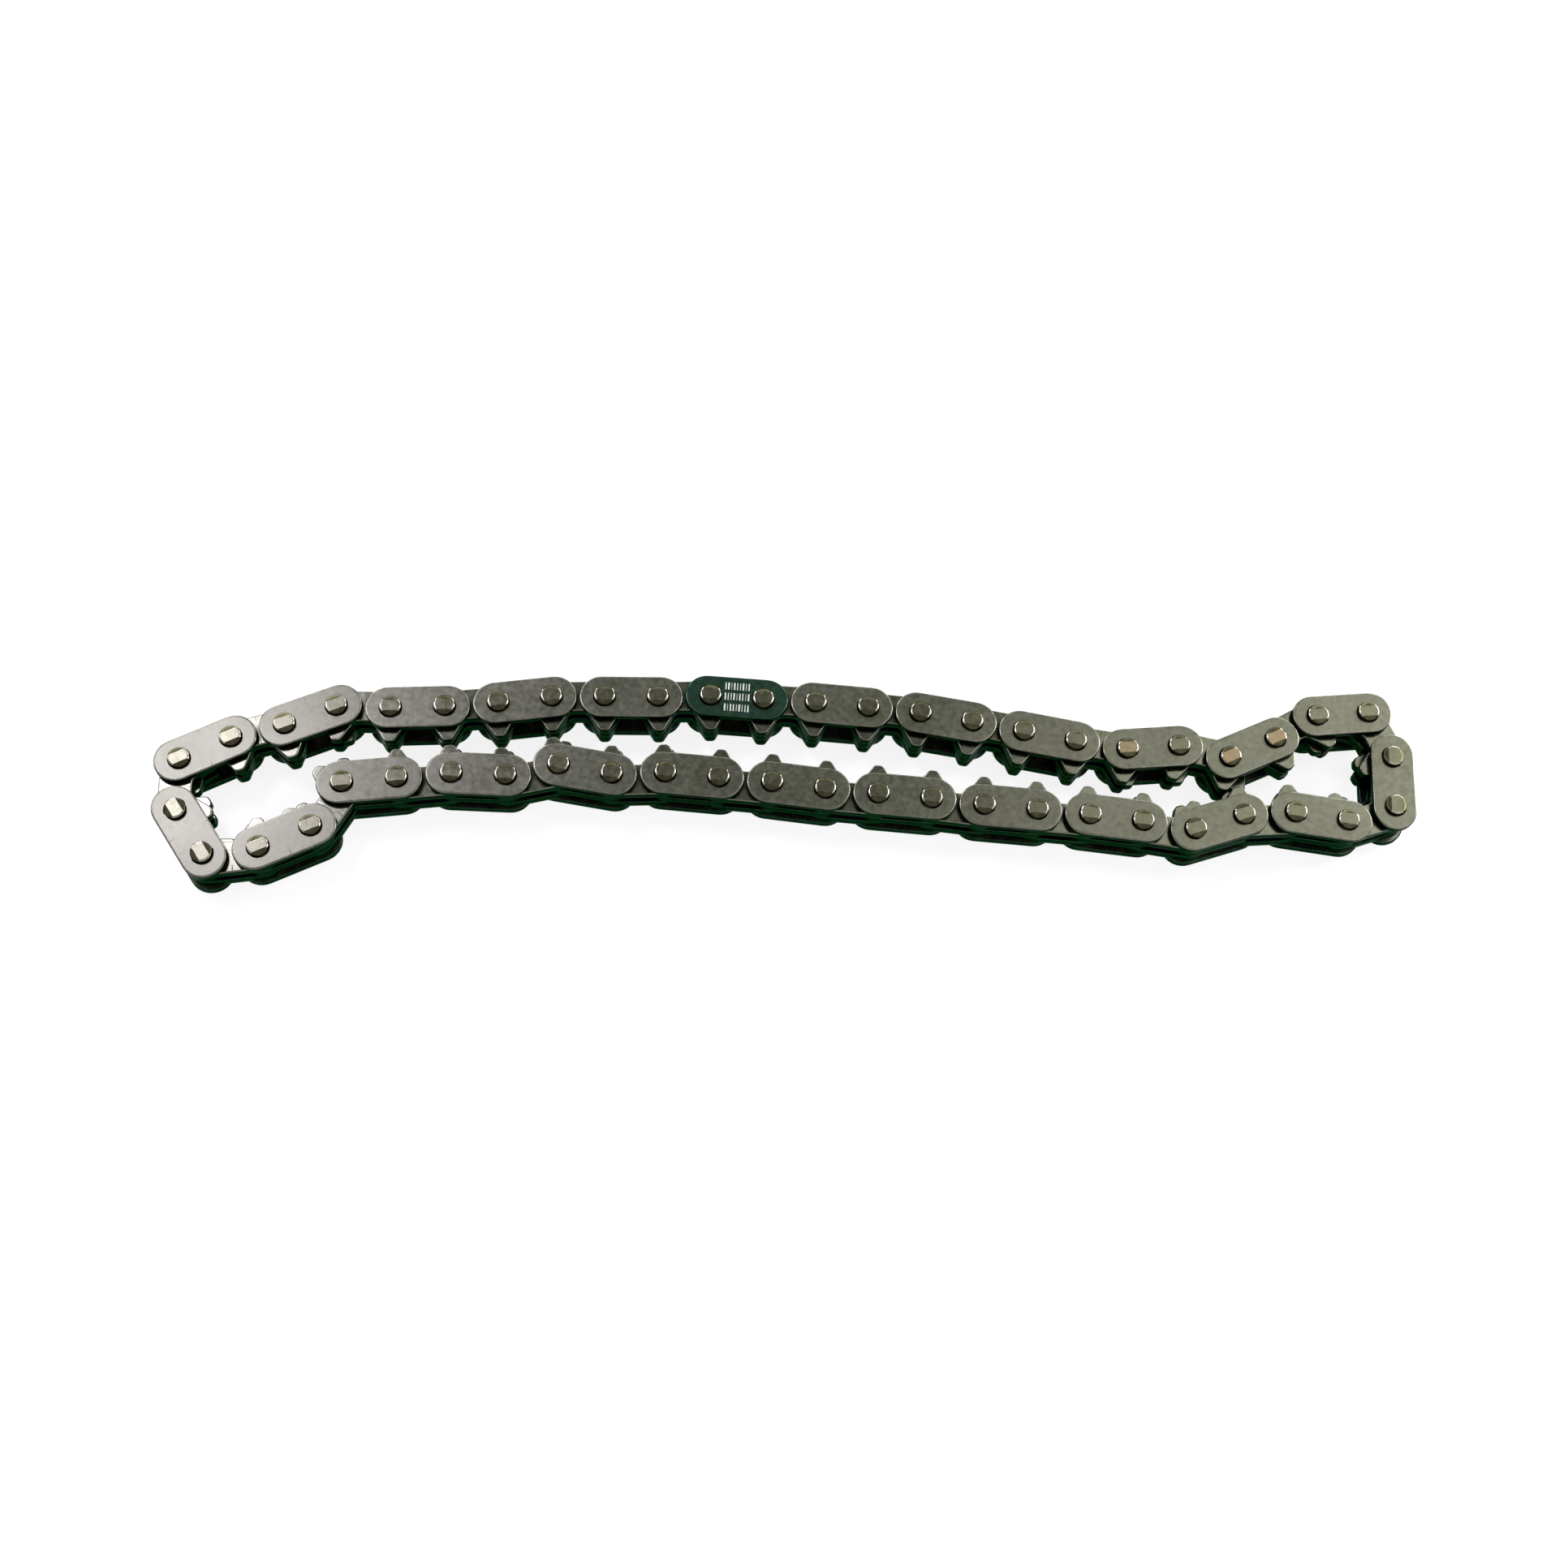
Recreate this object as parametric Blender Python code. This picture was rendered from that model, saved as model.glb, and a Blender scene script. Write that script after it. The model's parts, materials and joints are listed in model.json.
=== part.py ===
"""Oil pump chain: an endless silent chain of 50 links, lying flat as it comes out of its bag.

Guide links and tooth links take turns round the loop. A guide link has two riveted guide plates
outside and a tooth plate in the middle. A tooth link has two tooth plates, which run between them.
Every tooth plate has two toes, and all toes point into the loop, where the sprockets are.
"""
import math

import bmesh
import bpy
import numpy as np
from mathutils import Matrix

MM = 0.001

# Chain
PITCH = 8.0 * MM              # pin to pin
CLOSING_LINK = 6              # the dark guide link, where the chain is riveted shut
OPENED_STATIONS = 5           # from the closing link on, tooth links whose plates are apart

# Plates
GUIDE_WIDTH = 6.6 * MM
GUIDE_THICKNESS = 1.2 * MM
GUIDE_GAP = 0.4 * MM          # between the ends of two guide plates in a straight run
TOOTH_THICKNESS = 1.6 * MM
TOOTH_GAP = 2.0 * MM          # between the round ends of two tooth plates in one layer
SIDE_PLAY = 0.08 * MM         # between neighbouring layers
TOE_DEPTH = 5.0 * MM          # from the pin line to the toe's tip
TOE_WIDTH = 1.3 * MM          # across the tip
FLANK_ANGLE = 30.0            # outer flank to the link's square, in degrees
CROTCH_DEPTH = 1.8 * MM       # from the pin line to the root between the toes
CROTCH_WIDTH = 2.5 * MM

# Pins
PIN_DIAMETER = 3.2 * MM
PIN_PROUD = 0.79 * MM         # rivet end over the guide plate
RUNNING_FIT = 0.05 * MM       # all round a pin in its hole

# Facets
PIN_SIDES = 8
GUIDE_END_STEPS = 4           # along the half circle of a guide plate's end
TOOTH_BACK_STEPS = 3          # along the round back of a tooth plate, per pin
FLAT_WITHIN = 1.0             # degrees between faces that count as one flat face
SAME_POINT = 0.001 * MM       # corners this close are welded

# Which way each link points in the lay of the photograph, clockwise round the loop from the
# left end of the upper row, in degrees. Even places are guide links, odd ones tooth links.
REST_HEADINGS = [
    26, 16, 22, -1, 2, 5, 7, 1, 0, 2, -4, -3, -5, -6, -10, -11, -11, -9, 4, -13, 23, 28, 4,
    -68, -94, -163, -189, -177, -163, -189, -187, -185, -185, -187, -185, -185, -187, -185,
    -185, -178, -190, -167, -182, -174, -174, -120, -155, -172, -237, -269,
]
# The open lay: an oval, with two bowed strands and a tighter bend round each end
FIRST_WRAP = 19               # the link before the right end's bend
SECOND_WRAP = 44              # the link before the left end's bend
WRAPPED_LINKS = 10
WRAP_BEND = 15.0              # degrees from link to link round an end
CLOSED_AT = 4                 # places on the way open at which the loop closes exactly
REST_SHARE = 0.1              # how readily the lay at rest gives way, against the open one
CLOSING_STEPS = 20            # steps of the search for it

# Places round the loop, counted from 0. The loop opens at the closing link's first pin, and the
# link half a loop away from there stays still.
CLOSING_PLACE = 2 * (CLOSING_LINK - 1)
ROOT_LINK = CLOSING_PLACE + len(REST_HEADINGS) // 2 - 1

PIN_RADIUS = PIN_DIAMETER / 2
HOLE_RADIUS = (PIN_RADIUS + RUNNING_FIT) / math.cos(math.pi / PIN_SIDES)
GUIDE_RADIUS = GUIDE_WIDTH / 2
GUIDE_OVERRUN = (PITCH - GUIDE_GAP) / 2 - GUIDE_RADIUS
TOOTH_RADIUS = (PITCH - TOOTH_GAP) / 2

# Layers, from the lower pin ends up
LOWER_GUIDE = PIN_PROUD
LOWER_TOOTH = LOWER_GUIDE + GUIDE_THICKNESS + SIDE_PLAY
MIDDLE_TOOTH = LOWER_TOOTH + TOOTH_THICKNESS + SIDE_PLAY
UPPER_TOOTH = MIDDLE_TOOTH + TOOTH_THICKNESS + SIDE_PLAY
UPPER_GUIDE = UPPER_TOOTH + TOOTH_THICKNESS + SIDE_PLAY
PIN_LENGTH = UPPER_GUIDE + GUIDE_THICKNESS + PIN_PROUD


# Outlines, in a link's own plane: its pins at x = 0 and x = PITCH, its toes towards -y

def arc(centre, radius, start, end, steps):
    """Points along an arc, angles in degrees and both ends included."""
    return [
        (centre + radius * math.cos(a), radius * math.sin(a))
        for a in np.radians(np.linspace(start, end, steps + 1))
    ]


def circle(centre, radius):
    """A pin or a hole, with a flat side square to the link's length."""
    turn = 180.0 / PIN_SIDES
    return arc(centre, radius, turn, 360 + turn, PIN_SIDES)[:-1]


def guide_outline():
    """A slot shape: a straight plate with round ends."""
    left = arc(-GUIDE_OVERRUN, GUIDE_RADIUS, 90, 270, GUIDE_END_STEPS)
    right = arc(PITCH + GUIDE_OVERRUN, GUIDE_RADIUS, -90, 90, GUIDE_END_STEPS)
    return left + right


def tooth_outline():
    """A straight back, round ends, and two toes with a crotch between them."""
    flank = math.radians(FLANK_ANGLE)
    start = (-TOOTH_RADIUS * math.cos(flank), -TOOTH_RADIUS * math.sin(flank))
    toe_outside = start[0] + (TOE_DEPTH + start[1]) * math.tan(flank)
    left = arc(0, TOOTH_RADIUS, 90, 180 + FLANK_ANGLE, TOOTH_BACK_STEPS)
    left += [
        (toe_outside, -TOE_DEPTH),
        (toe_outside + TOE_WIDTH, -TOE_DEPTH),
        ((PITCH - CROTCH_WIDTH) / 2, -CROTCH_DEPTH),
    ]
    return left + [(PITCH - x, y) for x, y in reversed(left)]


# Solids

def plate_mesh(name, outline, holes, bottom, thickness):
    """A flat plate, from its outline and the centres of its holes."""
    curve = bpy.data.curves.new(name, "CURVE")
    curve.dimensions = "2D"
    curve.fill_mode = "BOTH"
    curve.extrude = thickness / 2
    for ring in [outline] + [circle(x, HOLE_RADIUS) for x in holes]:
        spline = curve.splines.new("POLY")
        spline.points.add(len(ring) - 1)
        for point, (x, y) in zip(spline.points, ring):
            point.co = (x, y, 0, 1)
        spline.use_cyclic_u = True
    holder = bpy.data.objects.new(name, curve)
    bpy.context.scene.collection.objects.link(holder)
    evaluated = holder.evaluated_get(bpy.context.evaluated_depsgraph_get())
    mesh = bpy.data.meshes.new_from_object(evaluated)
    bpy.data.objects.remove(holder)
    bm = bmesh.new()
    bm.from_mesh(mesh)
    bmesh.ops.remove_doubles(bm, verts=bm.verts, dist=SAME_POINT)
    bmesh.ops.recalc_face_normals(bm, faces=bm.faces)
    bmesh.ops.translate(bm, verts=bm.verts, vec=(0, 0, bottom + thickness / 2))
    bm.to_mesh(mesh)
    bm.free()
    return mesh


def pin_mesh(name, x):
    """A round rivet pin, standing on the ground."""
    bm = bmesh.new()
    bmesh.ops.create_cone(
        bm, cap_ends=True, segments=PIN_SIDES, radius1=PIN_RADIUS, radius2=PIN_RADIUS,
        depth=PIN_LENGTH,
    )
    bmesh.ops.rotate(bm, verts=bm.verts, matrix=Matrix.Rotation(math.pi / PIN_SIDES, 3, "Z"))
    bmesh.ops.translate(bm, verts=bm.verts, vec=(x, 0, PIN_LENGTH / 2))
    mesh = bpy.data.meshes.new(name)
    bm.to_mesh(mesh)
    bm.free()
    return mesh


def union(name, meshes):
    """One solid from meshes that run through each other."""
    first = bpy.data.objects.new(name, meshes[0])
    bpy.context.scene.collection.objects.link(first)
    others = []
    for mesh in meshes[1:]:
        other = bpy.data.objects.new(mesh.name, mesh)
        bpy.context.scene.collection.objects.link(other)
        joint = first.modifiers.new(mesh.name, "BOOLEAN")
        joint.operation = "UNION"
        joint.object = other
        others.append(other)
    evaluated = first.evaluated_get(bpy.context.evaluated_depsgraph_get())
    whole = bpy.data.meshes.new_from_object(evaluated)
    for used in [first] + others:
        bpy.data.objects.remove(used)
    whole.name = name
    bm = bmesh.new()
    bm.from_mesh(whole)
    bmesh.ops.dissolve_limit(
        bm, angle_limit=math.radians(FLAT_WITHIN), verts=bm.verts, edges=bm.edges,
    )
    bm.to_mesh(whole)
    bm.free()
    return whole


def guide_plate(bottom, pins):
    """A guide plate, with a hole at each end that has no pin of its own."""
    holes = [x for x in (0, PITCH) if x not in pins]
    return plate_mesh("guide_plate", guide_outline(), holes, bottom, GUIDE_THICKNESS)


def tooth_plate(bottom, pins):
    """A tooth plate, with a hole at each end that has no pin of its own."""
    holes = [x for x in (0, PITCH) if x not in pins]
    return plate_mesh("tooth_plate", tooth_outline(), holes, bottom, TOOTH_THICKNESS)


def link_mesh(name, guides, teeth, pins):
    """A link's plates, joined by the pins that they are held on."""
    plates = [guide_plate(bottom, pins) for bottom in guides]
    plates += [tooth_plate(bottom, pins) for bottom in teeth]
    return union(name, [pin_mesh("pin", x) for x in pins] + plates)


# The lay of the loop

def open_headings():
    """Headings of the links in the open lay, in degrees. The first strand starts at 0."""
    count = len(REST_HEADINGS)
    strand_links = count // 2 - WRAPPED_LINKS
    strand_bend = (180.0 - WRAP_BEND * WRAPPED_LINKS) / strand_links
    place = np.arange(count)
    second_lap = place < SECOND_WRAP + WRAPPED_LINKS - count
    place = place + count * second_lap
    wrapped = np.clip(place - FIRST_WRAP, 0, WRAPPED_LINKS)
    wrapped += np.clip(place - SECOND_WRAP, 0, WRAPPED_LINKS)
    straight = place - SECOND_WRAP - WRAPPED_LINKS + count - wrapped
    return 360.0 * second_lap - WRAP_BEND * wrapped - strand_bend * straight


def closed_opening():
    """Headings at rest, and the turn of each link while the loop opens, in radians.

    A link turns from one to the other in step with the rest. Both are moved as little as closes
    the loop at several places on the way, the lay at rest least, and the root link doesn't turn.
    """
    rest = np.radians(np.array(REST_HEADINGS, float))
    turn = np.radians(open_headings()) - rest
    way = 0.5 - 0.5 * np.cos(np.pi * (np.arange(CLOSED_AT) + 0.5) / CLOSED_AT)
    for _ in range(CLOSING_STEPS):
        ahead = np.exp(1j * (rest + way[:, None] * turn))
        gap = ahead.sum(axis=1)
        slope = 1j * np.hstack([REST_SHARE * ahead, way[:, None] * ahead])
        rows = np.vstack([slope.real, slope.imag])
        move = np.linalg.lstsq(rows, -np.r_[gap.real, gap.imag], rcond=None)[0]
        rest += REST_SHARE * move[:len(rest)]
        turn += move[len(rest):]
    return rest, turn - turn[ROOT_LINK]


def pin_places(headings):
    """Where each link's first pin is, from the headings and the pitch."""
    ahead = PITCH * np.column_stack([np.cos(headings), np.sin(headings)])
    return np.cumsum(ahead, axis=0) - ahead


def centred(pins, headings):
    """The pin places moved so that the whole chain's box has its middle at the origin."""
    c, s = np.cos(headings), np.sin(headings)
    corners = []
    for first, outline in ((0, guide_outline()), (0, tooth_outline()), (1, tooth_outline())):
        for x, y in outline:
            k = slice(first, None, 2)
            corners.append(pins[k] + np.column_stack([c[k] * x - s[k] * y, s[k] * x + c[k] * y]))
    corners = np.vstack(corners)
    return pins - (corners.min(axis=0) + corners.max(axis=0)) / 2


# Materials, one for each finish

def steel(name, colour, roughness):
    """A plain metal finish."""
    material = bpy.data.materials.new(name)
    material.use_nodes = True
    shader = material.node_tree.nodes["Principled BSDF"]
    shader.inputs["Base Color"].default_value = (*colour, 1)
    shader.inputs["Roughness"].default_value = roughness
    shader.inputs["Metallic"].default_value = 1.0
    material.diffuse_color = (*colour, 1)
    return material


# Assembly

def turns_at(link):
    """Which of its two pins a link turns on, as seen from the root link: 0 or 1.

    The links after the root, up to the closing link's first pin, turn on their first pin. The
    links from the closing link to the root turn on their second.
    """
    return 1 if CLOSING_PLACE <= link < ROOT_LINK else 0


def add_link(group, link, place, heading, pieces):
    """The pieces of one link, on an empty at the pin that the link turns on."""
    end = turns_at(link)
    pivot = bpy.data.objects.new(f"pivot_{link + 1:02d}", None)
    pivot.empty_display_size = PIN_DIAMETER
    pivot.location = (
        place[0] + end * PITCH * math.cos(heading),
        place[1] + end * PITCH * math.sin(heading),
        0,
    )
    pivot.rotation_euler = (0, 0, heading)
    group.objects.link(pivot)
    for name, mesh, material in pieces:
        piece = bpy.data.objects.new(name, mesh)
        piece.parent = pivot
        piece.location = (-end * PITCH, 0, 0)
        if not mesh.materials:
            mesh.materials.append(material)
        group.objects.link(piece)


def chain_pieces():
    """For each link in turn, its pieces as (name, mesh, material)."""
    plate = steel("tumbled_steel", (0.42, 0.41, 0.38), 0.38)
    pin = steel("pin_steel", (0.47, 0.46, 0.43), 0.3)
    dark = steel("black_oxide_steel", (0.016, 0.033, 0.03), 0.4)

    guides = (LOWER_GUIDE, UPPER_GUIDE)
    left, both = (0,), (0, PITCH)
    guide_link = link_mesh("guide_link", guides, (MIDDLE_TOOTH,), left)
    full_guide_link = link_mesh("guide_link_two_pins", guides, (MIDDLE_TOOTH,), both)
    tooth_link = link_mesh("tooth_link", (), (LOWER_TOOTH, UPPER_TOOTH), left)
    lower_tooth = tooth_plate(LOWER_TOOTH, ())
    upper_tooth = tooth_plate(UPPER_TOOTH, ())
    closing = [
        ("closing_guide_upper", guide_plate(UPPER_GUIDE, ()), dark),
        ("closing_guide_lower", guide_plate(LOWER_GUIDE, ()), plate),
        ("closing_tooth_plate", tooth_plate(MIDDLE_TOOTH, ()), plate),
        ("closing_pin_left", pin_mesh("closing_pin_left", 0), pin),
        ("closing_pin_right", pin_mesh("closing_pin_right", PITCH), pin),
    ]

    pieces = []
    for number in range(1, len(REST_HEADINGS) // 2 + 1):
        after = number - CLOSING_LINK
        opened = 0 <= after < OPENED_STATIONS
        if after == 0:
            pieces.append(closing)
        else:
            mesh = full_guide_link if opened else guide_link
            pieces.append([(f"guide_link_{number:02d}", mesh, plate)])
        if opened:
            pieces.append([
                (f"tooth_plate_{number:02d}_upper", upper_tooth, plate),
                (f"tooth_plate_{number:02d}_lower", lower_tooth, plate),
            ])
        else:
            pieces.append([(f"tooth_link_{number:02d}", tooth_link, plate)])
    return pieces


def main():
    for old in list(bpy.data.objects):
        bpy.data.objects.remove(old)
    group = bpy.data.collections.new("oil_pump_chain")
    bpy.context.scene.collection.children.link(group)
    headings, _ = closed_opening()
    places = centred(pin_places(headings), headings)
    for link, pieces in enumerate(chain_pieces()):
        add_link(group, link, places[link], float(headings[link]), pieces)


main()
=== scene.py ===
# %% [markdown]
# # Oil pump chain
#
# A silent chain drives an oil pump inside an engine. It is a stack of stamped steel plates on
# riveted pins: guide plates outside, and plates with two toes inside, which mesh with the
# sprockets. Here the chain lies flat, as it comes out of its bag, with its toes inwards.
#
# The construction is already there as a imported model: where each pin is, how thick each layer is
# and which link moves with which. This lesson gives it its looks. Every stamped plate and every
# pin becomes a surface of its own, with rounded edges, and each gets the finish of the real one.

# %% Load the chain as a fixed frame
import json
import math

import bmesh
import bpy
import numpy as np
from mathutils import Matrix, Vector

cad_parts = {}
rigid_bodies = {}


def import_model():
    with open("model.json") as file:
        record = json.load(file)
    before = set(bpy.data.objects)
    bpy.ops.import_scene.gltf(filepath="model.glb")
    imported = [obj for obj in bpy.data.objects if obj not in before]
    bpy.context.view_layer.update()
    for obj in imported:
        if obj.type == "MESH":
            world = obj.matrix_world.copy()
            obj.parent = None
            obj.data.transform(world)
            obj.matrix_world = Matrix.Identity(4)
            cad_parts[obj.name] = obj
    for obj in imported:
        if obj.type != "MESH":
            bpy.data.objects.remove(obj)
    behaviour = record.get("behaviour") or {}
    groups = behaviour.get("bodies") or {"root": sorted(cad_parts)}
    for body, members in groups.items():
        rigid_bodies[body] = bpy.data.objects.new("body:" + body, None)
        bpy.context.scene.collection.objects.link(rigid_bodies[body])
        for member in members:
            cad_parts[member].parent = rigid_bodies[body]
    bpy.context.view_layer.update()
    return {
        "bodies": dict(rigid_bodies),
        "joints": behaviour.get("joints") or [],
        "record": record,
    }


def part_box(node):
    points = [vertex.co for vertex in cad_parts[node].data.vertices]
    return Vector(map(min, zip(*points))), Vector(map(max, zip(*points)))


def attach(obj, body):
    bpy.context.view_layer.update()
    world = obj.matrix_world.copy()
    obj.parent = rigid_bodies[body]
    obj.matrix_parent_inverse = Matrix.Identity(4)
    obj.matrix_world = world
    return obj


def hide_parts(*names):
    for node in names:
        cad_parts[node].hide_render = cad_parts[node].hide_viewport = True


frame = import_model()

# %% [markdown]
# ## Where the links are
#
# A link runs from one pin to the next, so the pins say it all. Each joint of the frame is a pin
# between two neighbouring links. One pin has no joint, because the ring of links is open there:
# it is read from the box of the pin itself.

# %% Pin centres and layers
MM = 0.001
CLOSING_LINK = 6              # the dark guide link
OPEN_PIN = 2 * (CLOSING_LINK - 1)

LINKS = len(frame["bodies"])
pins = np.zeros((LINKS, 2))
for joint in frame["joints"]:
    ends = sorted(int(joint[side].split("_")[1]) for side in ("parent", "child"))
    pins[0 if ends == [1, LINKS] else ends[1] - 1] = joint["pos_m"][:2]
low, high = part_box("closing_pin_left")
pins[OPEN_PIN] = (np.array(low) + np.array(high))[:2] / 2
PITCH = float(np.median(np.linalg.norm(np.roll(pins, -1, axis=0) - pins, axis=1)))
print(LINKS, "links with a pitch of", round(PITCH / MM, 3), "mm")


def layer(node):
    """The heights between which a flat plate lies, from its box."""
    low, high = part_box(node)
    return low[2], high[2]


UPPER_GUIDE = layer("closing_guide_upper")
LOWER_GUIDE = layer("closing_guide_lower")
MIDDLE_TOOTH = layer("closing_tooth_plate")
UPPER_TOOTH = layer("tooth_plate_07_upper")
LOWER_TOOTH = layer("tooth_plate_07_lower")
PIN_HEIGHTS = layer("closing_pin_left")
print("pin length in mm:", round((PIN_HEIGHTS[1] - PIN_HEIGHTS[0]) / MM, 2))

# %% [markdown]
# ## A camera like the photograph's
#
# The photograph looks down on the chain at 68 degrees, a little from the left, and its picture
# is turned by 10 degrees. The camera's three axes follow from those three angles.

# %% Camera
CAMERA_PLACE = (-22.0 * MM, -111.3 * MM, 289.9 * MM)
CAMERA_AZIMUTH = math.radians(10.24)
CAMERA_ELEVATION = math.radians(68.35)
CAMERA_ROLL = math.radians(9.98)
CAMERA_LENS = 46.58           # on a sensor 36 mm wide
CAMERA_CLIP = (0.01, 10.0)    # m


def camera_axes(azimuth, elevation, roll):
    """Right, up and backward axes of a camera.

    Forward is (sin a cos e, cos a cos e, -sin e). Level right is (cos a, -sin a, 0), and up is
    right x forward. The roll r then turns the two: right' = cos r right + sin r up.
    """
    a, e, r = azimuth, elevation, roll
    forward = np.array([math.sin(a) * math.cos(e), math.cos(a) * math.cos(e), -math.sin(e)])
    right = np.array([math.cos(a), -math.sin(a), 0.0])
    up = np.cross(right, forward)
    return (
        math.cos(r) * right + math.sin(r) * up,
        math.cos(r) * up - math.sin(r) * right,
        -forward,
    )


camera = bpy.data.objects.new("camera", bpy.data.cameras.new("camera"))
camera.data.lens = CAMERA_LENS
camera.data.clip_start, camera.data.clip_end = CAMERA_CLIP
axes = np.column_stack(camera_axes(CAMERA_AZIMUTH, CAMERA_ELEVATION, CAMERA_ROLL))
camera.matrix_world = Matrix.Translation(CAMERA_PLACE) @ Matrix(axes.tolist()).to_4x4()
bpy.context.scene.collection.objects.link(camera)
bpy.context.scene.camera = camera
print("camera at", CAMERA_PLACE)

# %% [markdown]
# ## Colours and nodes
#
# Colours are written as they look on a screen, in sRGB hex, and turned to linear light for the
# shader. One helper adds a node, sets it and links it, so that a material below reads as a list
# of what it is made of.

# %% Helpers for materials


def linear(hex_colour):
    """An sRGB hex colour as linear red, green, blue and alpha: ((c + 0.055) / 1.055) ^ 2.4."""
    parts = np.array([int(hex_colour[i:i + 2], 16) for i in (1, 3, 5)]) / 255
    light = np.where(parts <= 0.04045, parts / 12.92, ((parts + 0.055) / 1.055) ** 2.4)
    return (*light.tolist(), 1.0)


def add_node(tree, kind, inputs=None, **settings):
    """A new node. Each input is a value, or the output of another node, which is linked."""
    node = tree.nodes.new(kind)
    for name, value in settings.items():
        setattr(node, name, value)
    for socket, value in (inputs or {}).items():
        if isinstance(value, bpy.types.NodeSocket):
            tree.links.new(value, node.inputs[socket])
        else:
            node.inputs[socket].default_value = value
    return node


COLOUR_A, COLOUR_B, COLOUR_RESULT = 6, 7, 2   # sockets of a Mix node set to colours


def per_metre(millimetres):
    """The scale of a noise whose patches are about that many millimetres wide."""
    return 1.0 / (millimetres * MM)


# %% [markdown]
# ## Steel finishes
#
# The plates are blanked from strip, hardened, and tumbled with abrasive stones. That leaves a
# satin grey face with a fine cloudy grain, and wears the edges bright. The cut sides are dark and
# slightly green, partly from the film of the hardening oil and partly as painted shade. All of
# these are one recipe with other numbers: a metal whose colour and roughness drift with a noise,
# over a finely pitted surface.

# %% The recipe for tumbled steel
# each noise: the size of its patches in mm, its detail, and its weight in the colour
DRIFT = (14.0, 1.0, 0.9)      # so that one link differs a little from the next
CLOUDS = (0.9, 3.0, 1.9)      # left by the stones
GRAIN = (0.16, 2.0, 0.8)      # coarser than the real grain, so that it shows
NOISE_ROUGHNESS = 0.6         # how strong the finer octaves of each noise are
NOISE_RANGE = (0.3, 0.7)      # nearly all the values of a noise lie between these
PIT_DEPTH = 0.006             # mm
BRUISE_DEPTH = 0.012          # mm, of the shallow dents that the clouds are


def tumbled(name, dark, light, roughness, spread, pits, glance):
    """A metal between two colours, with a cloudy grain.

    The share of the light colour is a weighted sum of three noises: drift, clouds and grain,
    with 0.5 as its mean. The roughness varies with the clouds by spread to either side. A bare
    metal shines white when it is seen along its surface: glance is the colour of that shine,
    which a film dulls.
    """
    material = bpy.data.materials.new(name)
    material.use_nodes = True
    tree = material.node_tree
    shader = tree.nodes["Principled BSDF"]
    place = add_node(tree, "ShaderNodeTexCoord").outputs["Object"]
    noises = []
    share = (1 - DRIFT[2] - CLOUDS[2] - GRAIN[2]) / 2
    for size, detail, weight in (DRIFT, CLOUDS, GRAIN):
        noises.append(add_node(
            tree, "ShaderNodeTexNoise",
            {"Vector": place, "Scale": per_metre(size), "Detail": detail,
             "Roughness": NOISE_ROUGHNESS},
        ).outputs["Fac"])
        share = add_node(
            tree, "ShaderNodeMath", {0: noises[-1], 1: weight, 2: share},
            operation="MULTIPLY_ADD",
        ).outputs[0]
    clouds, grain = noises[1:]
    colour = add_node(
        tree, "ShaderNodeMix",
        {0: share, COLOUR_A: linear(dark), COLOUR_B: linear(light)},
        data_type="RGBA",
    ).outputs[COLOUR_RESULT]
    gloss = add_node(
        tree, "ShaderNodeMapRange",
        {"Value": clouds, "From Min": NOISE_RANGE[0], "From Max": NOISE_RANGE[1],
         "To Min": roughness - spread, "To Max": roughness + spread},
    )
    bruised = add_node(
        tree, "ShaderNodeBump",
        {"Height": clouds, "Strength": pits, "Distance": BRUISE_DEPTH * MM},
    )
    pitted = add_node(
        tree, "ShaderNodeBump",
        {"Height": grain, "Strength": pits, "Distance": PIT_DEPTH * MM,
         "Normal": bruised.outputs[0]},
    )
    shader.inputs["Metallic"].default_value = 1.0
    shader.inputs["Specular Tint"].default_value = linear(glance)
    tree.links.new(colour, shader.inputs["Base Color"])
    tree.links.new(gloss.outputs[0], shader.inputs["Roughness"])
    tree.links.new(pitted.outputs[0], shader.inputs["Normal"])
    return material


# %% The finishes of the chain
# tumbled steel strip: satin, grey with a faint green cast
plate_face = tumbled("tumbled_steel_face", "#393b31", "#4f5046", 0.31, 0.04, 0.4, "#e7e7e7")
# the same on the toothed plates, a little darker and smoother, so they mirror the room more
tooth_face = tumbled("tooth_plate_face", "#37392f", "#4b4d42", 0.2, 0.04, 0.3, "#bcbcbc")
# edges worn bright by the tumbling, and the inner edges between the layers, painted dark as shade
plate_rim = tumbled("tumbled_steel_edge", "#4d4c45", "#66655c", 0.26, 0.04, 0.2, "#bcbcbc")
tooth_rim = tumbled("tooth_plate_edge", "#4e4d45", "#6c6a61", 0.26, 0.04, 0.2, "#bcbcbc")
shaded_inner_edge = tumbled("inner_edge_painted_shade", "#0b1d12", "#1f3828", 0.24, 0.04, 0.2, "#909a94")
# the cut sides, dark partly from the film of hardening oil and partly as painted shade
plate_side = tumbled("cut_side_oil_and_shade", "#04150b", "#0b2515", 0.34, 0.06, 0.4, "#aebcb3")
# black oxide, a thin converted skin on steel: nearly black, with a soft green shine
dark_face = tumbled("black_oxide_face", "#16261c", "#203127", 0.36, 0.05, 0.4, "#cbcbcb")
dark_rim = tumbled("black_oxide_edge", "#1a2c22", "#2a4136", 0.28, 0.04, 0.2, "#aaaaaa")
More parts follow.
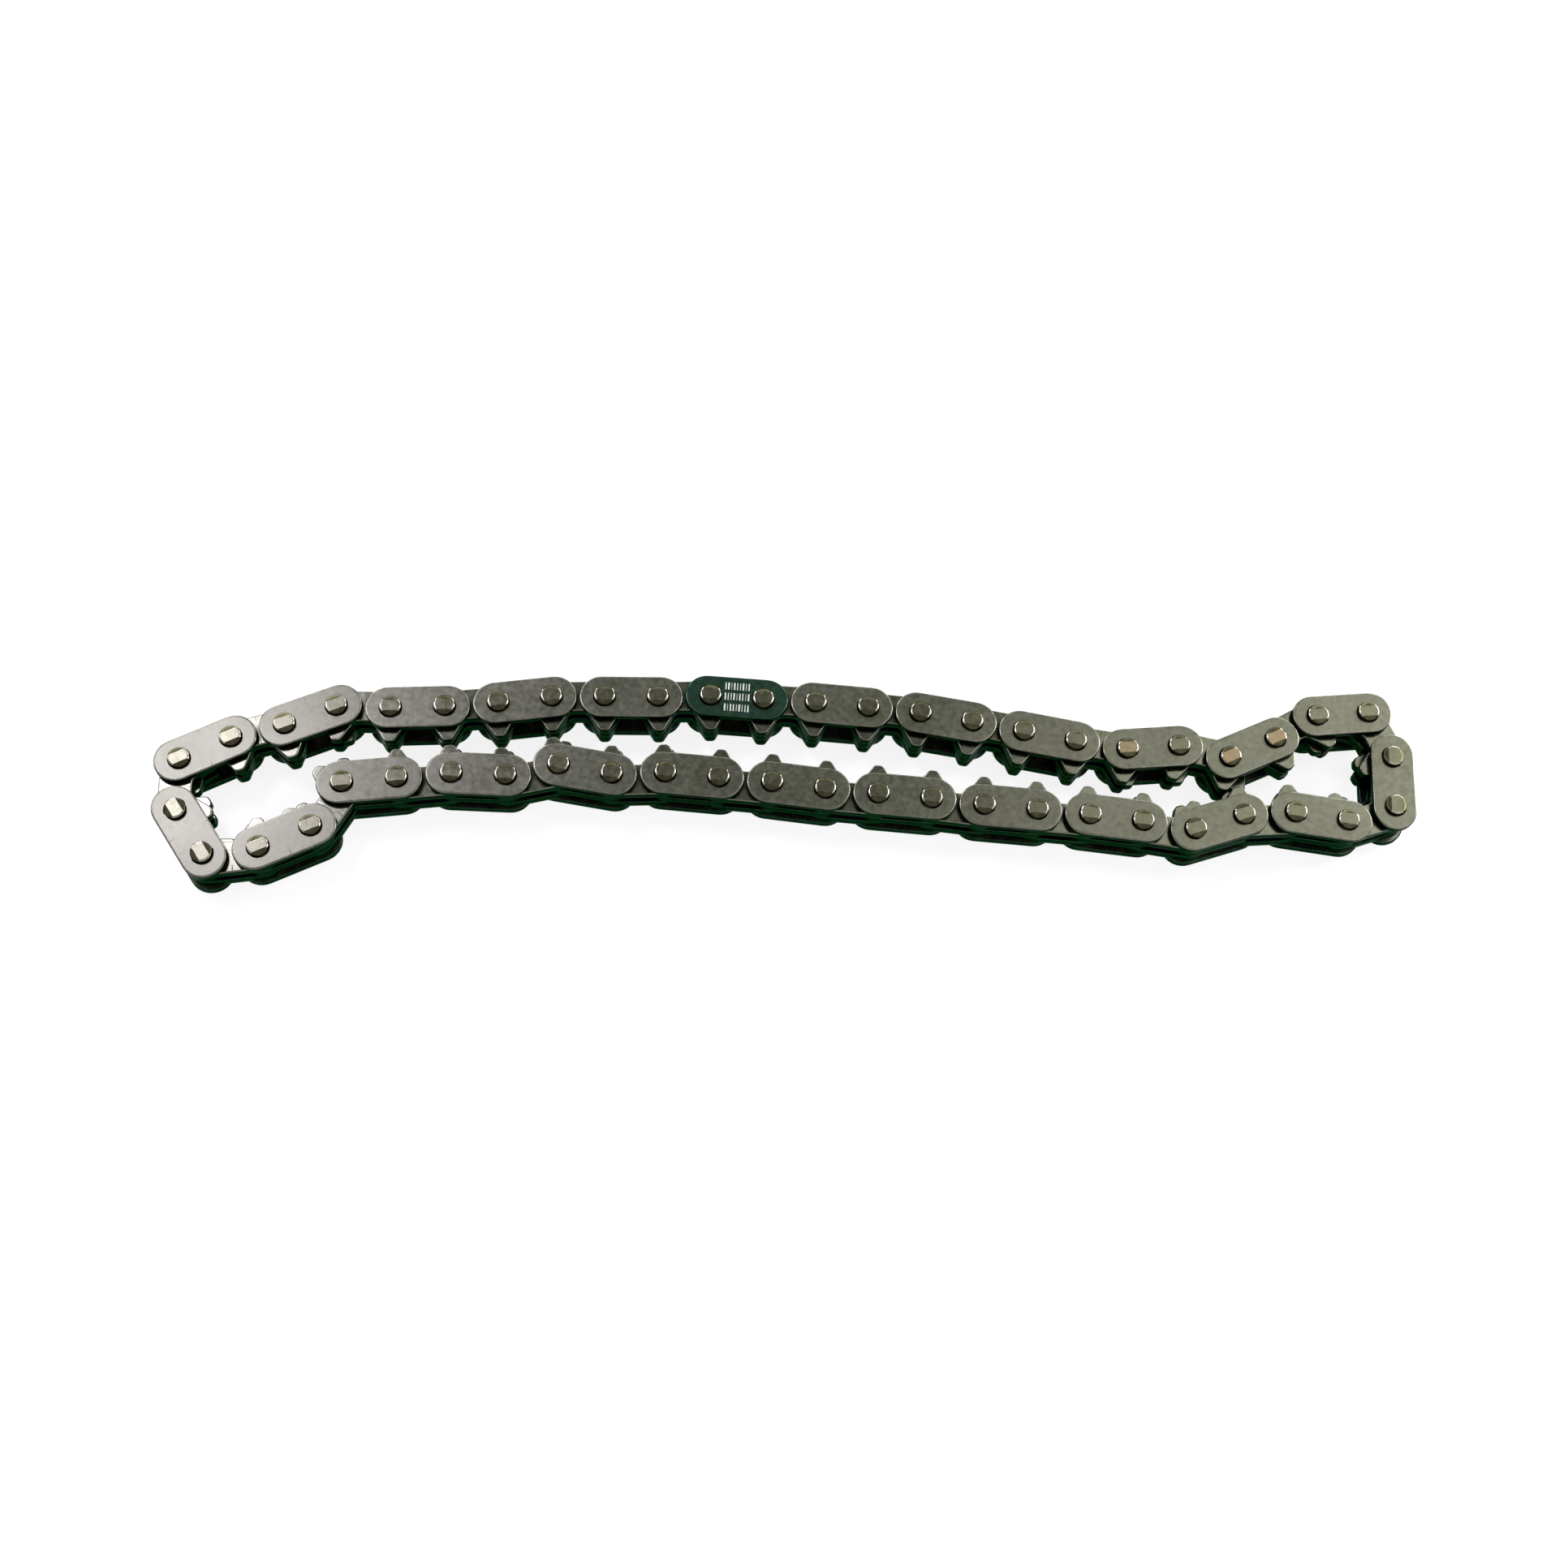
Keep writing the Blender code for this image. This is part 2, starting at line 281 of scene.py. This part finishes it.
# pin steel: the flat end, some of them tinted by heat, the bright worn corner, and the rough
# dark faces struck by the riveting tool
pin_end = tumbled("pin_end_steel", "#38392d", "#4a4b3e", 0.25, 0.05, 0.5, "#e7e7e7")
pin_straw = tumbled("pin_end_straw_steel", "#4a4234", "#645a45", 0.3, 0.05, 0.5, "#e7e7e7")
pin_rim = tumbled("pin_corner_steel", "#6e6b61", "#908c80", 0.2, 0.04, 0.2, "#bcbcbc")
pin_struck = tumbled("pin_struck_steel", "#29281b", "#3f3e2f", 0.3, 0.06, 0.5, "#aaaaaa")
# the groove round a pin's foot, painted dark as shade, so that it reads as a thin dark ring
PAINTED_SHADE_BLACK = "#0b100a"
groove = tumbled("groove_painted_shade", PAINTED_SHADE_BLACK, "#1a2018", 0.45, 0.06, 0.4, "#595959")

# %% Painted shade in the slits
# between the round ends of two guides in line, a slit stays narrow and lies in shade, which is
# painted dark onto the toothed plates beneath it
ACROSS = "across_mm"          # the attribute with a point's distance from the pin line, in mm
SLIT_FULL = 0.7               # mm from the pin line, up to which the painted shade is whole
SLIT_END = 1.7                # mm, where it ends
SLIT_SHADE = 0.75              # share of the painted shade where it is whole


def slit_shaded(name, unshaded):
    """A copy of a toothed plate's finish, with painted shade near the pin line.

    The painted shade's share is SLIT_SHADE up to SLIT_FULL from the pin line, and falls evenly to
    nothing at SLIT_END. The distance comes from the plate's own attribute.
    """
    material = unshaded.copy()
    material.name = name
    tree = material.node_tree
    base = tree.nodes["Principled BSDF"].inputs["Base Color"]
    across = add_node(tree, "ShaderNodeAttribute", attribute_name=ACROSS).outputs["Fac"]
    away = add_node(tree, "ShaderNodeMath", {0: across}, operation="ABSOLUTE")
    shade_share = add_node(
        tree, "ShaderNodeMapRange",
        {"Value": away.outputs[0], "From Min": SLIT_FULL, "From Max": SLIT_END,
         "To Min": SLIT_SHADE, "To Max": 0.0},
    )
    shaded_colour = add_node(
        tree, "ShaderNodeMix",
        {0: shade_share.outputs[0], COLOUR_A: base.links[0].from_socket, COLOUR_B: linear(PAINTED_SHADE_BLACK)},
        data_type="RGBA",
    )
    tree.links.new(shaded_colour.outputs[COLOUR_RESULT], base)
    return material


slit_shaded_face = slit_shaded("tooth_face_slit_shade", tooth_face)
print(len(bpy.data.materials), "materials")

# %% [markdown]
# ## An outline with round corners
#
# Both plates are stamped, so a plate is an outline carried through a thickness. An outline here
# is a few corner points, each with its own radius. Between two corners it runs straight, and at
# a corner it follows the arc that touches both sides. The arc begins at a distance
# radius * tan(turn / 2) before the corner, where turn is the change of heading.

# %% Rounded outlines
CORNER_STEP = 12.0            # degrees of arc between two points


def rounded(corners, radii):
    """Points of an open path with round corners, and the unit vectors to its right.

    At a corner with heading change t, the arc's centre lies radius / cos(t / 2) from it, along
    the line that halves the corner. The first and last points stay as they are.
    """
    corners = np.asarray(corners, float)
    points, rights = [], []
    headings = np.arctan2(*np.diff(corners, axis=0).T[::-1])
    for i, radius in zip(range(1, len(corners) - 1), radii):
        before, after = headings[i - 1], headings[i]
        turn = (after - before + math.pi) % (2 * math.pi) - math.pi
        side = math.copysign(1.0, turn)
        reach = radius / math.cos(turn / 2)
        halving = before + turn / 2 + side * math.pi / 2
        centre = corners[i] + reach * np.array([math.cos(halving), math.sin(halving)])
        steps = max(2, math.ceil(abs(math.degrees(turn)) / CORNER_STEP))
        right = np.linspace(before, before + turn, steps + 1) - math.pi / 2
        outward = np.column_stack([np.cos(right), np.sin(right)])
        points.append(centre + side * radius * outward)
        rights.append(outward)
    first = np.array([math.sin(headings[0]), -math.cos(headings[0])])
    last = np.array([math.sin(headings[-1]), -math.cos(headings[-1])])
    points = np.vstack([corners[:1], *points, corners[-1:]])
    rights = np.vstack([[first], *rights, [last]])
    return points, rights


# %% [markdown]
# ## A stamped plate as one surface
#
# Half a plate is worked out, from its middle line round one pin hole, and the other half is its
# mirror image. Seen from the hole, every point of the outline is in plain view, so the half is a
# grid: one parameter goes round the hole, the other goes along a profile. The profile starts in
# the hole, crosses its countersink and the upper face, rolls over the edge, runs down the side
# and comes back underneath.

# %% Welding a grid into a mesh
WELD = 0.0005 * MM            # corners closer than this are one
SHARP_ANGLE = 38.0            # degrees, above which an edge looks sharp


def joined(name, points, faces, zones):
    """A mesh from a grid: seams welded, faces of no area gone, all faces pointing outwards.

    Each point keeps its distance from the pin line, in millimetres, as an attribute, because
    the mesh is turned to its link later.
    """
    mesh = bpy.data.meshes.new(name)
    mesh.from_pydata(points.tolist(), [], faces.tolist())
    mesh.polygons.foreach_set("material_index", zones.astype(np.int32))
    work = bmesh.new()
    work.from_mesh(mesh)
    bmesh.ops.remove_doubles(work, verts=work.verts, dist=WELD)
    bmesh.ops.recalc_face_normals(work, faces=work.faces)
    work.to_mesh(mesh)
    closed = all(edge.is_manifold for edge in work.edges)
    work.free()
    mesh.shade_smooth()
    mesh.set_sharp_from_angle(angle=math.radians(SHARP_ANGLE))
    places = np.empty(3 * len(mesh.vertices), np.float32)
    mesh.vertices.foreach_get("co", places)
    mesh.attributes.new(ACROSS, "FLOAT", "POINT").data.foreach_set("value", places[1::3] / MM)
    print(name, len(mesh.polygons), "faces, closed:", closed)
    return mesh


# %% The grid of half a plate
EDGE_STEPS = 4                # along the quarter round of an edge
MIDDLE_STEPS = 4              # along the middle line, where the halves meet
SHOULDER = 0.12 * MM          # flat margin that keeps the face flat next to a round edge
COUNTERSINK = 0.14 * MM       # width and depth of the slope round a hole
FACE, RIM, SIDE, GROOVE, INNER_RIM = range(5)


def plate_surface(name, outline, edge, heights, hole, rubbed):
    """A stamped plate with two pin holes.

    outline is half of it, from the middle line to the middle line, and edge the radius that its
    upper and lower edges are rounded to. A point of the grid is outline - inset * right, at a
    height, with inset = edge (1 - cos t) and height = top - edge (1 - sin t) on the edge's
    quarter round, for t from 90 to 0 degrees. On the face it runs straight to the hole.
    rubbed is the side whose rim lies outside and wears bright, "upper" or "lower". A plate in
    the middle has none.
    """
    path, right = outline
    bottom, top = heights
    t = np.radians(np.linspace(90, 0, EDGE_STEPS + 1))
    inset, drop = edge * (1 - np.cos(t)), edge * (1 - np.sin(t))

    # round the hole: the outline, then back along the middle line
    inner = path - edge * right
    middle = np.linspace(inner[-1], inner[0], MIDDLE_STEPS + 1)[1:-1]
    contour = np.vstack([inner, middle])
    reach = np.linalg.norm(contour, axis=1)[:, None]
    ray = contour / reach
    around, whole = len(contour), len(path)

    # rows of the upper face, from the hole's wall to the start of the round edge
    rows = [hole * ray, (hole + COUNTERSINK) * ray, (hole + COUNTERSINK + SHOULDER) * ray]
    rows += [contour - SHOULDER * ray, contour]
    depths = [COUNTERSINK, 0, 0, 0, 0]
    upper = [np.column_stack([row, np.full(around, top - d)]) for row, d in zip(rows, depths)]
    upper_zones = [GROOVE, FACE, FACE, FACE]
    # rows of the round edge, only where there is an outline
    rim = [np.column_stack([path - i * right, np.full(whole, top - d)])
           for i, d in zip(inset[1:], drop[1:])]

    points, faces, zones = [], [], []

    def strip(lower_row, upper_row, zone, loop):
        """Adds the two rows and the faces between them."""
        start = sum(len(p) for p in points)
        count = len(lower_row)
        points.extend([lower_row, upper_row])
        a = np.arange(count if loop else count - 1)
        b = (a + 1) % count
        faces.append(start + np.column_stack([a, b, b + count, a + count]))
        zones.append(np.full(len(a), zone))

    def underneath(row):
        """The row's mirror image in the plate's middle plane."""
        return row * [1, 1, -1] + [0, 0, top + bottom]

    edge_rows = [upper[-1][:whole], *rim]
    for side, placed in (("upper", np.array), ("lower", underneath)):
        # a rim that is not rubbed lies between the layers, and its finish is painted dark as shade
        rim_zone = RIM if side == rubbed else INNER_RIM
        for i, zone in enumerate(upper_zones):
            strip(placed(upper[i]), placed(upper[i + 1]), zone, True)
        for i in range(EDGE_STEPS):
            strip(placed(edge_rows[i]), placed(edge_rows[i + 1]), rim_zone, False)
    strip(rim[-1], underneath(rim[-1]), SIDE, False)
    strip(upper[0], underneath(upper[0]), SIDE, True)

    points, faces, zones = np.vstack(points), np.vstack(faces), np.concatenate(zones)
    mirrored = points * [-1, 1, 1] + [PITCH, 0, 0]
    return joined(
        name,
        np.vstack([points, mirrored]),
        np.vstack([faces, faces[:, ::-1] + len(points)]),
        np.concatenate([zones, zones]),
    )


# %% [markdown]
# ## Guide plates
#
# A guide plate is a straight slot shape, 6.6 mm wide, with half round ends. It keeps the chain on
# its sprockets. Each guide link has two, and the pins are riveted in them. One of them is black:
# it marks the link where the ring was closed.

# %% Guide plates
GUIDE_WIDTH = 6.6 * MM
GUIDE_GAP = 0.4 * MM          # between the ends of two guide plates in a straight run
GUIDE_EDGE = 0.2 * MM
PIN_RADIUS = 1.6 * MM
PRESS_ROOM = 0.01 * MM        # round a pin that is riveted in its hole

guide_end = (PITCH - GUIDE_GAP) / 2
guide_outline = rounded(
    [(PITCH / 2, GUIDE_WIDTH / 2), (-guide_end, GUIDE_WIDTH / 2),
     (-guide_end, -GUIDE_WIDTH / 2), (PITCH / 2, -GUIDE_WIDTH / 2)],
    [GUIDE_WIDTH / 2, GUIDE_WIDTH / 2],
)
upper_guide, lower_guide = (
    plate_surface(f"{side}_guide", guide_outline, GUIDE_EDGE, heights,
                  PIN_RADIUS + PRESS_ROOM, side)
    for side, heights in (("upper", UPPER_GUIDE), ("lower", LOWER_GUIDE))
)

# %% [markdown]
# ## Tooth plates
#
# A tooth plate has a straight back, round ends, and two toes. A sprocket tooth stands between
# the toes of one plate, and pushes on the outer flanks of its neighbours, which lean in by 30
# degrees. The corners of the toes are worn round, and so is the crotch between them.

# %% Tooth plates
TOOTH_GAP = 2.0 * MM          # between the round ends of two plates in one layer
TOE_DEPTH = 5.0 * MM          # from the pin line to the toe's tip
TOE_WIDTH = 1.3 * MM          # across the tip, before its corners are rounded
FLANK_ANGLE = math.radians(30)
CROTCH_DEPTH = 1.8 * MM
CROTCH_WIDTH = 2.5 * MM
TOE_CORNER = 0.75 * MM
CROTCH_CORNER = 1.0 * MM
TOOTH_EDGE = 0.16 * MM
RUNNING_ROOM = 0.05 * MM      # round a pin that turns in its hole

end_radius = (PITCH - TOOTH_GAP) / 2
# the back's line and the flank's line both touch the round end
back_corner = -end_radius * math.tan(math.pi / 4 + FLANK_ANGLE / 2)
flank_foot = -end_radius / math.cos(FLANK_ANGLE) + TOE_DEPTH * math.tan(FLANK_ANGLE)
tooth_outline = rounded(
    [(PITCH / 2, end_radius), (back_corner, end_radius),
     (flank_foot, -TOE_DEPTH), (flank_foot + TOE_WIDTH, -TOE_DEPTH),
     ((PITCH - CROTCH_WIDTH) / 2, -CROTCH_DEPTH), (PITCH / 2, -CROTCH_DEPTH)],
    [end_radius, TOE_CORNER, TOE_CORNER, CROTCH_CORNER],
)
tooth_plates = {
    side: plate_surface(f"{side}_tooth", tooth_outline, TOOTH_EDGE, heights,
                        PIN_RADIUS + RUNNING_ROOM, side)
    for side, heights in (("upper", UPPER_TOOTH), ("middle", MIDDLE_TOOTH), ("lower", LOWER_TOOTH))
}

# %% [markdown]
# ## Riveted pins
#
# A pin is a hard, smooth cylinder that fills its hole in the guide plates. Its ends stand proud
# and are struck by a tool with two flat cheeks, along the link. That leaves a flat end with two
# leaning faces beside it, and the metal spreads and locks the plate.

# %% Pins
PIN_EDGE = 0.24 * MM          # radius of the worn corner
STRUCK_AT = 0.85 * MM         # from the middle to a struck face
STRUCK_SLOPE = math.radians(22)
END_SHOULDER = 0.06 * MM      # flat margin inside the edge of the flat end
FLAT_STEPS, CHEEK_STEPS = 5, 6   # round a quarter of a pin, beside the flat end and the cheek
END, CORNER, STRUCK = range(3)


def pin_surface(name, heights):
    """A pin, as rows of rings from the middle of one end to the middle of the other.

    The flat end reaches to radius min(R - edge, struck / |sin a|) at the angle a round the pin.
    Beyond it the struck face falls by tan(slope) (|y| - struck), and the corner is a quarter
    round of radius edge below that.
    """
    bottom, top = heights
    inside = PIN_RADIUS - PIN_EDGE
    corner = math.asin(STRUCK_AT / inside)
    quarter = np.concatenate([
        np.linspace(0, corner, FLAT_STEPS + 1),
        np.linspace(corner, math.pi / 2, CHEEK_STEPS + 1),
    ])
    turns = np.concatenate([quarter, math.pi - quarter, math.pi + quarter, -quarter])
    a = np.unique(np.round(turns % (2 * math.pi), 7))
    flat = np.minimum(inside, STRUCK_AT / np.maximum(np.abs(np.sin(a)), 1e-6))
    fall = math.tan(STRUCK_SLOPE) * np.maximum(inside * np.abs(np.sin(a)) - STRUCK_AT, 0)
    level = np.zeros_like(a)
    t = np.radians(np.linspace(0, 90, EDGE_STEPS + 1))[1:, None]
    radii = [level, flat / 2, flat - END_SHOULDER, flat, level + inside]
    depths = [level, level, level, level, fall]
    radii += list(inside + PIN_EDGE * np.sin(t) + level)
    depths += list(fall + PIN_EDGE * (1 - np.cos(t)))
    upper = [np.column_stack([r * np.cos(a), r * np.sin(a), top - d])
             for r, d in zip(radii, depths)]
    lower = [row * [1, 1, -1] + [0, 0, top + bottom] for row in upper[::-1]]
    rows = np.array(upper + lower)

    count = len(a)
    ring = np.arange(count)
    after = (ring + 1) % count
    start = count * np.arange(len(rows) - 1)[:, None]
    faces = np.stack([start + ring, start + after, start + count + after, start + count + ring], 2)
    # by row: three flat strips, the struck strip, the corner's strips, and the wall
    struck = np.abs(np.sin(a + (np.roll(a, -1) - a) % (2 * math.pi) / 2)) > math.sin(corner)
    half = [np.full(count, END)] * 3 + [np.full(count, STRUCK)]
    half += [np.where(struck, STRUCK, CORNER)] * EDGE_STEPS
    zones = np.array(half + [np.full(count, STRUCK)] + half[::-1])
    return joined(name, rows.reshape(-1, 3), faces.reshape(-1, 4), zones.ravel())


pin_shape = pin_surface("pin", PIN_HEIGHTS)

# %% [markdown]
# ## Putting the pieces in place
#
# Each surface was worked out beside its own first pin. A copy is turned to its link's heading and
# moved to its pin, in the mesh itself, so that the object stays at the origin. It then rides on
# the body of its link, and stands for the plain solid that the construction has there.

# %% Placing
bodies = frame["record"]["behaviour"]["bodies"]


def heading(link):
    """The heading of a link, from its first pin to its next."""
    start, end = pins[link % LINKS], pins[(link + 1) % LINKS]
    return math.atan2(*(end - start)[::-1])


def place_of(link, at_end):
    """The move from a link's own plane to the chain, with x along the link."""
    where = pins[(link + 1) % LINKS if at_end else link]
    return Matrix.Translation((*where, 0)) @ Matrix.Rotation(heading(link), 4, "Z")


def add_piece(name, shape, finish, link, part, at_end=False):
    """One plate or pin, which stands for the nodes of its body whose names hold that part."""
    body = f"link_{link + 1:02d}"
    mesh = shape.copy()
    mesh.name = name
    mesh.transform(place_of(link, at_end))
    for material in finish:
        mesh.materials.append(material)
    piece = bpy.data.objects.new(name, mesh)
    bpy.context.scene.collection.objects.link(piece)
    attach(piece, body)
    nodes = [node for node in bodies[body] if part in node] or bodies[body]
    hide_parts(*nodes)
    return piece


# %% The fifty links
STRAW_PINS = (18, 20, 21)     # pins whose ends are tinted by heat, counted from 0
IN_LINE = math.radians(9)     # a smaller bend leaves only a narrow slit between two guides
guide_finish = (plate_face, plate_rim, plate_side, groove, shaded_inner_edge)
dark_finish = (dark_face, dark_rim, plate_side, groove, shaded_inner_edge)
tooth_finish = (tooth_face, tooth_rim, plate_side, groove, shaded_inner_edge)
slit_shaded_finish = (slit_shaded_face, *tooth_finish[1:])


def in_line(link):
    """Whether the links before and after this one have nearly the same heading."""
    bend = (heading(link + 1) - heading(link - 1) + math.pi) % (2 * math.pi) - math.pi
    return abs(bend) < IN_LINE


pieces = []
for link in range(0, LINKS, 2):
    number = link // 2 + 1
    upper_finish, upper_slot = guide_finish, "steel_links"
    if number == CLOSING_LINK:
        upper_finish, upper_slot = dark_finish, "black_oxide_plate"
    pieces += [
        add_piece(f"guide_{number:02d}_upper", upper_guide, upper_finish, link,
                  "guide_upper"),
        add_piece(f"guide_{number:02d}_lower", lower_guide, guide_finish, link,
                  "guide_lower"),
        add_piece(f"centre_tooth_{number:02d}", tooth_plates["middle"], tooth_finish, link,
                  "tooth_plate"),
    ]
    for pin, side in ((link, "left"), (link + 1, "right")):
        end = pin_straw if pin in STRAW_PINS else pin_end
        pieces.append(add_piece(
            f"pin_{number:02d}_{side}", pin_shape, (end, pin_rim, pin_struck), link,
            f"pin_{side}", at_end=side == "right",
        ))
    # plates under a narrow slit get painted shade near the pin line
    inner_finish = slit_shaded_finish if in_line(link + 1) else tooth_finish
    for side in ("upper", "lower"):
        pieces.append(add_piece(
            f"inner_tooth_{number:02d}_{side}", tooth_plates[side], inner_finish, link + 1,
            f"_{side}",
        ))
print(len(pieces), "plates and pins")

# %% [markdown]
# ## The mark on the dark plate
#
# The dark plate carries three short rows of fine pale bars between its pins, upright and of
# uneven width, where the black oxide is etched away. Each bar is a thin box, and all of them are
# one mesh, computed together.

# %% Pale bars
MARK_ROWS = (1.75 * MM, 0.05 * MM, -1.75 * MM)
MARK_HEIGHT = 1.15 * MM
MARK_STEP = 0.44 * MM
MARKS_IN_ROW = 9
MARK_SKIN = 0.006 * MM        # above the plate
BAR_SHARE, BAR_SWING, BAR_TURN = 0.35, 0.2, 2.4   # how much of its step a bar fills
ETCHED_METALLIC = 0.3         # etched oxide is mostly a powder


def bars(name, rows, count, step, height, top):
    """Upright bars, as boxes.

    Bar k of a row is at (k - middle) step, and the share of its step that it fills follows
    BAR_SHARE + BAR_SWING sin(BAR_TURN k + row).
    """
    k, row = np.meshgrid(np.arange(count), np.arange(len(rows)))
    width = step * (BAR_SHARE + BAR_SWING * np.sin(BAR_TURN * k + row)).ravel()
    centre = np.column_stack([
        PITCH / 2 + (k.ravel() - (count - 1) / 2) * step,
        np.take(rows, row.ravel()),
        np.full(k.size, top),
    ])
    corner = np.array([(x, y, z) for z in (-1, 1) for y in (-1, 1) for x in (-1, 1)])
    size = np.column_stack([width / 2, np.full(k.size, height / 2), np.full(k.size, MARK_SKIN)])
    points = centre[:, None] + corner * size[:, None]
    box = np.array([(0, 2, 3, 1), (4, 5, 7, 6), (0, 1, 5, 4), (1, 3, 7, 5), (3, 2, 6, 7),
                    (2, 0, 4, 6)])
    faces = 8 * np.arange(k.size)[:, None, None] + box
    return joined(name, points.reshape(-1, 3), faces.reshape(-1, 4), np.zeros(6 * k.size))


# oxide lifted off the steel: pale, matt and a little chalky
etched = tumbled("etched_oxide", "#7d837a", "#a3a89e", 0.5, 0.05, 0.4, "#ffffff")
etched.node_tree.nodes["Principled BSDF"].inputs["Metallic"].default_value = ETCHED_METALLIC
mark_shape = bars("marks", MARK_ROWS, MARKS_IN_ROW, MARK_STEP, MARK_HEIGHT, UPPER_GUIDE[1])
marks = add_piece("closing_plate_marks", mark_shape, (etched,), 2 * (CLOSING_LINK - 1),
                  "guide_upper")

# %% [markdown]
# ## A white table and soft light
#
# The photograph is cut out on white. A pale floor takes the place of the table, and the world is
# white where the camera or a shiny surface looks at it. Satin steel shows what it faces, so the
# chain's left end is bright because a lamp stands where that end mirrors it.

# %% Floor and world
FLOOR_SIZE = 3.0              # m
FLOOR_DROP = 0.02 * MM        # under the pin ends, so that the two don't share a plane
FLOOR_GLOW = 0.85             # how far the floor is lifted to white, where it is looked at
ROOM_LIGHT = 0.85             # of the white world, on everything


def looked_at(tree):
    """1 for a ray from the camera, or one that left a shiny or a clear surface, otherwise 0."""
    rays = add_node(tree, "ShaderNodeLightPath").outputs
    shiny = add_node(
        tree, "ShaderNodeMath", {0: rays["Is Camera Ray"], 1: rays["Is Glossy Ray"]},
        operation="MAXIMUM",
    )
    clear = add_node(
        tree, "ShaderNodeMath", {0: shiny.outputs[0], 1: rays["Is Transmission Ray"]},
        operation="MAXIMUM",
    )
    return clear.outputs[0]


half = FLOOR_SIZE / 2
floor_mesh = bpy.data.meshes.new("floor")
floor_mesh.from_pydata(
    [(x, y, -FLOOR_DROP) for x, y in ((-half, -half), (half, -half), (half, half), (-half, half))],
    [], [(0, 1, 2, 3)],
)
floor = bpy.data.objects.new("floor", floor_mesh)
bpy.context.scene.collection.objects.link(floor)

# matt white paper, on which the chain leaves only a faint shadow
paper = bpy.data.materials.new("white_paper")
paper.use_nodes = True
tree = paper.node_tree
tree.nodes.clear()
lit = add_node(tree, "ShaderNodeBsdfDiffuse", {"Color": linear("#fafafa")})
glow = add_node(tree, "ShaderNodeEmission", {"Color": linear("#ffffff"), "Strength": 1.0})
share = add_node(
    tree, "ShaderNodeMath", {0: looked_at(tree), 1: FLOOR_GLOW}, operation="MULTIPLY",
)
lifted = add_node(
    tree, "ShaderNodeMixShader", {0: share.outputs[0], 1: lit.outputs[0], 2: glow.outputs[0]},
)
add_node(tree, "ShaderNodeOutputMaterial", {"Surface": lifted.outputs[0]})
floor_mesh.materials.append(paper)

world = bpy.data.worlds.new("white_room")
bpy.context.scene.world = world
bpy.context.scene.view_settings.view_transform = "Standard"
world.use_nodes = True
tree = world.node_tree
tree.nodes.clear()
soft = add_node(tree, "ShaderNodeBackground", {"Color": linear("#ffffff"), "Strength": ROOM_LIGHT})
white = add_node(tree, "ShaderNodeBackground", {"Color": linear("#ffffff"), "Strength": 1.0})
mixed = add_node(
    tree, "ShaderNodeMixShader", {0: looked_at(tree), 1: soft.outputs[0], 2: white.outputs[0]},
)
add_node(tree, "ShaderNodeOutputWorld", {"Surface": mixed.outputs[0]})
print("floor of", FLOOR_SIZE, "m under a white world")

# %% Lamps
LOOK_AT = Vector((0.0, 0.0, 5 * MM))


def add_lamp(name, place, size, watts, colour):
    """A square area lamp, turned to face the chain."""
    lamp = bpy.data.objects.new(name, bpy.data.lights.new(name, "AREA"))
    lamp.data.size = size
    lamp.data.energy = watts
    lamp.data.color = linear(colour)[:3]
    lamp.location = place
    lamp.rotation_mode = "QUATERNION"
    lamp.rotation_quaternion = (Vector(place) - LOOK_AT).to_track_quat("Z", "Y")
    bpy.context.scene.collection.objects.link(lamp)


# the two lamps that the ends of the chain mirror towards the camera
add_lamp("left_lamp", (-0.185, 0.145, 0.36), 0.08, 0.98, "#ece2ff")
add_lamp("right_lamp", (0.225, 0.105, 0.36), 0.2, 0.58, "#fffaf7")
# two low lamps, which draw a line of light along the round ends of the plates
add_lamp("left_edge_lamp", (-0.25, 0.08, 0.09), 0.1, 0.22, "#ffffff")
add_lamp("right_edge_lamp", (0.25, 0.08, 0.07), 0.1, 0.9, "#ffffff")
# three behind, for the far cheeks of the pin ends, which are as bright as the flat faces beside
# them at both ends of the chain
add_lamp("back_lamp", (0.03, 0.45, 0.25), 0.22, 0.6, "#ffffff")
add_lamp("left_back_lamp", (-0.26, 0.45, 0.20), 0.2, 2.4, "#ffffff")
add_lamp("right_back_lamp", (0.31, 0.45, 0.20), 0.2, 2.2, "#ffffff")
# and one above the right end, for the near cheeks there
add_lamp("right_front_lamp", (0.187, -0.13, 0.31), 0.14, 0.13, "#ffffff")
print(len(bpy.data.lights), "lamps")
